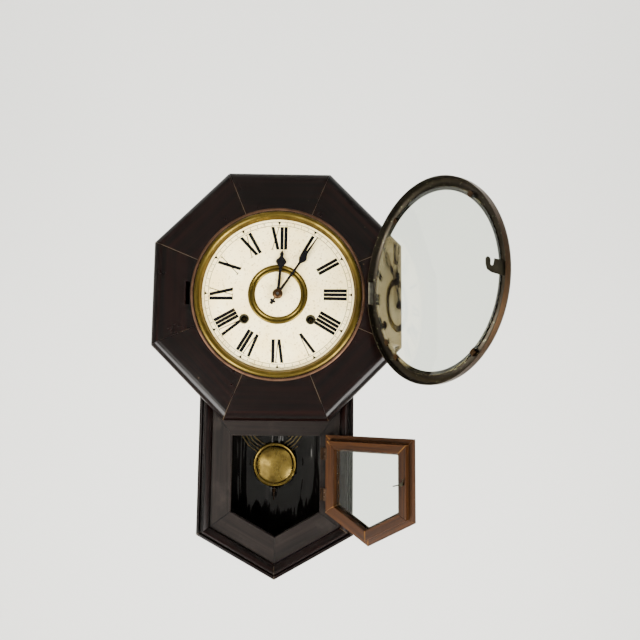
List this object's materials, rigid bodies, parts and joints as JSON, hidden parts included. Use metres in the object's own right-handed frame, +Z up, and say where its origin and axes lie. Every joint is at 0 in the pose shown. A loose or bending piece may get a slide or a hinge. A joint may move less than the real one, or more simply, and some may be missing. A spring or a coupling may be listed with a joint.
{
  "type": "pendulum wall clock",
  "caption": "Octagonal short-drop pendulum wall clock with strike, bezel and pendulum door standing open, Roman dial, brass bob, coiled gong and a geared going train.",
  "frame": {"origin": "on the wall plane, at the back of the backboard, straight behind the middle of the dial", "axes": "+X to the right seen from the front, +Y into the wall (the dial faces -Y), +Z up"},
  "size_m": [0.4049, 0.3399, 0.5335],
  "materials": {
    "ebonised_wood": "ebonised, worn shellac",
    "bare_wood": "unfinished inside face, aged brown",
    "backboard_black": "glossy black lacquer",
    "dial_paper": "cream printed paper on a tin plate, aged",
    "old_brass": "tarnished, brown patina",
    "bob_brass": "spun, half polished",
    "blued_steel": "black, blued",
    "steel": "plain, dulled",
    "iron": "dark drawn wire",
    "glass": "old window glass"
  },
  "bodies": {
    "case": {"case_top_board": "ebonised_wood", "case_left_board": "ebonised_wood", "case_right_board": "ebonised_wood", "case_lower_left_board": "ebonised_wood", "case_lower_right_board": "ebonised_wood", "octagon_rail_1": "ebonised_wood", "octagon_rail_2": "ebonised_wood", "octagon_rail_3": "ebonised_wood", "octagon_rail_4": "ebonised_wood", "octagon_rail_5": "ebonised_wood", "octagon_rail_6": "ebonised_wood", "octagon_rail_7": "ebonised_wood", "octagon_rail_8": "ebonised_wood", "drop_front_frame": "ebonised_wood", "drop_moulding_left_side": "ebonised_wood", "drop_moulding_left_lower": "ebonised_wood", "drop_moulding_right_side": "ebonised_wood", "drop_moulding_right_lower": "ebonised_wood", "backboard": "backboard_black", "hanger_plate": "steel", "time_mainspring": "steel", "strike_mainspring": "steel", "dial_plate": "dial_paper", "dial_surround": "old_brass", "dial_centre_ring": "old_brass", "winding_grommet_time": "old_brass", "winding_grommet_strike": "old_brass", "bezel_hinge_case_leaf": "old_brass", "drop_hinge_upper_case_leaf": "old_brass", "drop_hinge_lower_case_leaf": "old_brass", "movement_back_plate": "old_brass", "movement_front_plate": "old_brass", "suspension_post": "old_brass", "gong_base": "old_brass", "gong_coil": "iron"},
    "bezel": {"bezel_ring": "old_brass", "bezel_glass": "glass", "bezel_hinge_door_leaf": "old_brass", "bezel_latch_hook": "old_brass"},
    "drop_door": {"drop_door_frame": "bare_wood", "drop_door_glass": "glass", "drop_hinge_upper_door_leaf": "old_brass", "drop_hinge_lower_door_leaf": "old_brass"},
    "door_hook": {"drop_door_hook": "steel"},
    "minute_arbor": {"centre_arbor": "steel", "minute_hand": "blued_steel", "hand_nut": "old_brass"},
    "hour_pipe": {"hour_wheel": "old_brass", "hour_hand": "blued_steel"},
    "minute_wheel": {"minute_wheel": "old_brass"},
    "time_great_wheel": {"time_great_wheel": "old_brass"},
    "strike_great_wheel": {"strike_great_wheel": "old_brass"},
    "time_second_wheel": {"time_second_wheel": "old_brass"},
    "time_third_wheel": {"time_third_wheel": "old_brass"},
    "escape_wheel": {"escape_wheel": "old_brass"},
    "pendulum": {"pendulum_rod": "steel", "pendulum_bob": "bob_brass", "rating_nut": "steel"},
    "verge": {"verge": "steel"},
    "strike_hammer": {"strike_hammer": "steel"}
  },
  "joints": [
    {"name": "bezel_swing", "type": "hinge", "parent": "case", "child": "bezel", "pos_m": [0.1205, -0.119, 0], "axis": [0, 0, 1], "range_deg": [-119.4, 40.6]},
    {"name": "drop_door_swing", "type": "hinge", "parent": "case", "child": "drop_door", "pos_m": [0.0641, -0.0873, -0.2335], "axis": [0, 0, 1], "range_deg": [-147, 10]},
    {"name": "door_hook_turn", "type": "hinge", "parent": "drop_door", "child": "door_hook", "pos_m": [0.15376, -0.1602, -0.236], "axis": [-0.5446, -0.8387, 0], "range_deg": [-20, 180]},
    {"name": "minute_hand_turn", "type": "hinge", "parent": "case", "child": "minute_arbor", "pos_m": [0, -0.05, 0], "axis": [0, 1, 0], "continuous": true},
    {"name": "hour_hand_turn", "type": "hinge", "parent": "case", "child": "hour_pipe", "pos_m": [0, -0.05, 0], "axis": [0, 1, 0], "continuous": true},
    {"name": "minute_wheel_turn", "type": "hinge", "parent": "case", "child": "minute_wheel", "pos_m": [-0.01018, -0.05, -0.01018], "axis": [0, 1, 0], "continuous": true},
    {"name": "time_great_wheel_turn", "type": "hinge", "parent": "case", "child": "time_great_wheel", "pos_m": [0.0435, -0.05, -0.033], "axis": [0, 1, 0], "continuous": true},
    {"name": "time_second_wheel_turn", "type": "hinge", "parent": "case", "child": "time_second_wheel", "pos_m": [0.01711, -0.05, -0.0175], "axis": [0, 1, 0], "continuous": true},
    {"name": "time_third_wheel_turn", "type": "hinge", "parent": "case", "child": "time_third_wheel", "pos_m": [0.01143, -0.05, 0.01833], "axis": [0, 1, 0], "continuous": true},
    {"name": "escape_wheel_turn", "type": "hinge", "parent": "case", "child": "escape_wheel", "pos_m": [0, -0.05, 0.0345], "axis": [0, 1, 0], "continuous": true},
    {"name": "strike_winding_turn", "type": "hinge", "parent": "case", "child": "strike_great_wheel", "pos_m": [-0.0435, -0.05, -0.033], "axis": [0, 1, 0], "continuous": true},
    {"name": "pendulum_swing", "type": "hinge", "parent": "case", "child": "pendulum", "pos_m": [0, -0.022, 0.057], "axis": [0, 1, 0], "range_deg": [-4.8, 3.2]},
    {"name": "verge_rock", "type": "hinge", "parent": "case", "child": "verge", "pos_m": [0, -0.0376, 0.057], "axis": [0, 1, 0], "range_deg": [-4.8, 3.2]},
    {"name": "hammer_lift", "type": "hinge", "parent": "case", "child": "strike_hammer", "pos_m": [-0.056, -0.04, -0.004], "axis": [0, 1, 0], "range_deg": [0, 4.5]}
  ],
  "couplings": [
    {"joint": "hour_hand_turn", "follows": "minute_hand_turn", "ratio": 0.083333},
    {"joint": "minute_wheel_turn", "follows": "minute_hand_turn", "ratio": -0.33333},
    {"joint": "time_second_wheel_turn", "follows": "minute_hand_turn", "ratio": -0.33333},
    {"joint": "time_great_wheel_turn", "follows": "minute_hand_turn", "ratio": 0.083333},
    {"joint": "time_third_wheel_turn", "follows": "minute_hand_turn", "ratio": -8},
    {"joint": "escape_wheel_turn", "follows": "minute_hand_turn", "ratio": 80},
    {"joint": "verge_rock", "follows": "pendulum_swing", "ratio": 1}
  ]
}
